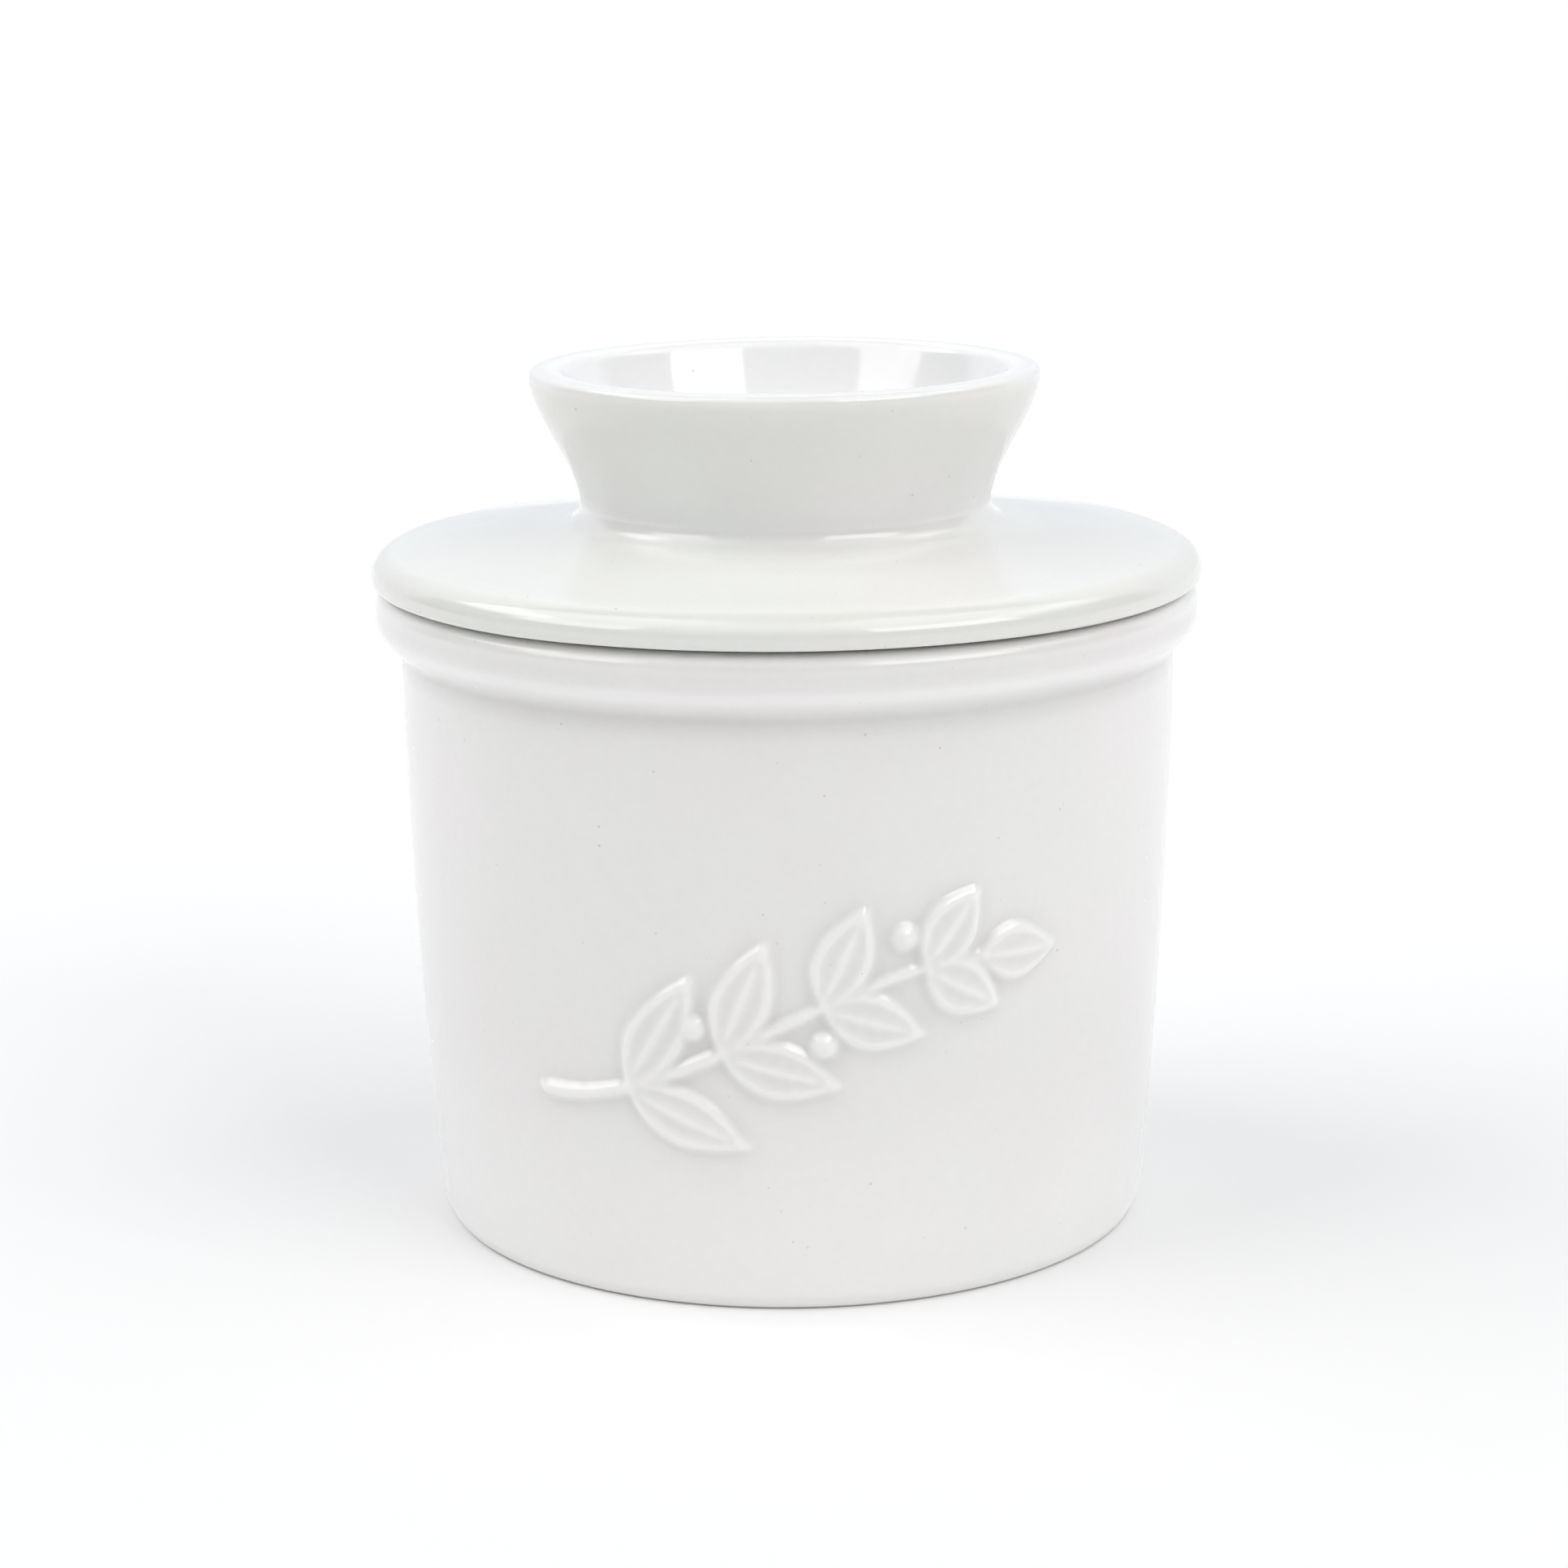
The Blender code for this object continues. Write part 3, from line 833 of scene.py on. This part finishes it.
def floor_material():
    """A white sweep. The camera sees it a little lifted, as the photographed background is."""
    material, nodes = new_material("studio_floor")
    place = nodes.add("ShaderNodeTexCoord").outputs["Object"]
    cloud = nodes.add("ShaderNodeTexNoise", {"Vector": place, **FLOOR_CLOUDS}).outputs["Fac"]
    seen = nodes.add("ShaderNodeLightPath").outputs["Is Camera Ray"]
    colour = nodes.mix(seen, FLOOR_COLOUR, FLOOR_SEEN)
    whiter = nodes.ramp(cloud, NOISE_LOW, NOISE_HIGH, 0.0, FLOOR_CLOUD_SHARE)
    colour = nodes.mix(whiter, colour, WHITE)
    diffuse = nodes.add("ShaderNodeBsdfDiffuse", {"Color": colour})
    lift = nodes.maths("MULTIPLY", seen, FLOOR_LIFT)
    glow = nodes.add("ShaderNodeEmission", {"Color": WHITE, "Strength": lift})
    both = nodes.add("ShaderNodeAddShader", {0: diffuse.outputs[0], 1: glow.outputs[0]})
    nodes.add("ShaderNodeOutputMaterial", {"Surface": both.outputs[0]})
    return material


def make_floor():
    """A round floor at the height that the pot stands on, far wider than any view."""
    mesh = bpy.data.meshes.new("floor")
    angles = [2 * math.pi * side / FLOOR_SIDES for side in range(FLOOR_SIDES)]
    ring = [(FLOOR_REACH * math.cos(a), FLOOR_REACH * math.sin(a), cad_low.z) for a in angles]
    mesh.from_pydata(ring, [], [tuple(range(FLOOR_SIDES))])
    mesh.materials.append(floor_material())
    floor = bpy.data.objects.new("floor", mesh)
    bpy.context.scene.collection.objects.link(floor)


def panel_window(nodes, azimuth, elevation, edges):
    """1 inside a panel of the studio and 0 outside it, with soft edges."""
    left, right, low, high, soft = (math.radians(angle) for angle in edges)
    turn = nodes.maths("SUBTRACT", azimuth, (left + right) / 2)
    inputs = {0: turn, 1: math.pi, 2: -math.pi}
    turn = nodes.add("ShaderNodeMath", inputs, operation="WRAP").outputs[0]
    half = (right - left) / 2
    window = nodes.ramp(nodes.maths("ABSOLUTE", turn), half - soft, half + soft, 1.0, 0.0)
    window = nodes.maths("MULTIPLY", window, nodes.ramp(elevation, low - soft, low + soft))
    below_top = nodes.ramp(elevation, high - soft, high + soft, 1.0, 0.0)
    return nodes.maths("MULTIPLY", window, below_top)


def make_world():
    """A white studio: two softboxes in front, light beside and over them, and a bright back wall.

    Azimuth 0 is straight in front of the object, at -Y, and 90 is at +X. The camera itself sees
    plain white.
    """
    world = bpy.data.worlds.new("studio")
    bpy.context.scene.world = world
    world.use_nodes = True
    nodes = Nodes(world.node_tree)
    direction = nodes.add("ShaderNodeTexCoord").outputs["Generated"]
    parts = nodes.add("ShaderNodeSeparateXYZ", {"Vector": direction})
    to_front = nodes.maths("MULTIPLY", parts.outputs["Y"], -1.0)
    azimuth = nodes.maths("ARCTAN2", parts.outputs["X"], to_front)
    elevation = nodes.maths("ARCSINE", parts.outputs["Z"])
    level = 0.0
    for *edges, strength in STUDIO_PANELS:
        window = panel_window(nodes, azimuth, elevation, edges)
        level = nodes.maths("ADD", level, nodes.maths("MULTIPLY", window, strength))
    seen = nodes.add("ShaderNodeLightPath").outputs["Is Camera Ray"]
    unseen = nodes.maths("MULTIPLY", level, nodes.maths("SUBTRACT", 1.0, seen))
    level = nodes.maths("ADD", unseen, seen)
    behind = nodes.ramp(parts.outputs["Y"], BACK_FROM, BACK_FULL)
    behind = nodes.maths("MULTIPLY", behind, nodes.maths("SUBTRACT", 1.0, seen))
    colour = nodes.mix(behind, WHITE, BACK_COLOUR)
    glow = nodes.add("ShaderNodeBackground", {"Color": colour, "Strength": level})
    nodes.add("ShaderNodeOutputWorld", {"Surface": glow.outputs[0]})


def make_camera():
    """The photograph's view: pitch looks down, yaw turns to the right and roll tilts the camera."""
    pitch, yaw, roll = (math.radians(a) for a in (CAMERA_PITCH, CAMERA_YAW, CAMERA_ROLL))
    across, ahead = math.sin(yaw) * math.cos(pitch), math.cos(yaw) * math.cos(pitch)
    forward = Vector((across, ahead, -math.sin(pitch)))
    level_right = Vector((math.cos(yaw), -math.sin(yaw), 0))
    level_up = level_right.cross(forward)
    right = level_right * math.cos(roll) + level_up * math.sin(roll)
    up = level_up * math.cos(roll) - level_right * math.sin(roll)
    axes = Matrix((right, up, -forward)).transposed()
    data = bpy.data.cameras.new("camera")
    data.sensor_width = SENSOR
    data.lens = CAMERA_LENS
    data.clip_start, data.clip_end = CAMERA_CLIP
    camera = bpy.data.objects.new("camera", data)
    camera.matrix_world = Matrix.Translation(CAMERA_PLACE) @ axes.to_4x4()
    bpy.context.scene.collection.objects.link(camera)
    bpy.context.scene.camera = camera


pot = make_pot()
pot.data.materials.append(glaze_and_painted_light_material("pot_glaze_and_painted_light", *POT_LOOK))
pot.data.materials.append(bare_material())
lid = make_lid()
lid.data.materials.append(glaze_and_painted_light_material("lid_glaze_and_painted_light", *LID_LOOK))

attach(pot, "pot")
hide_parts("crock")
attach(lid, "lid")
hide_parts("bell_lid")

make_floor()
make_world()
make_camera()
bpy.context.scene.view_settings.view_transform = "Standard"
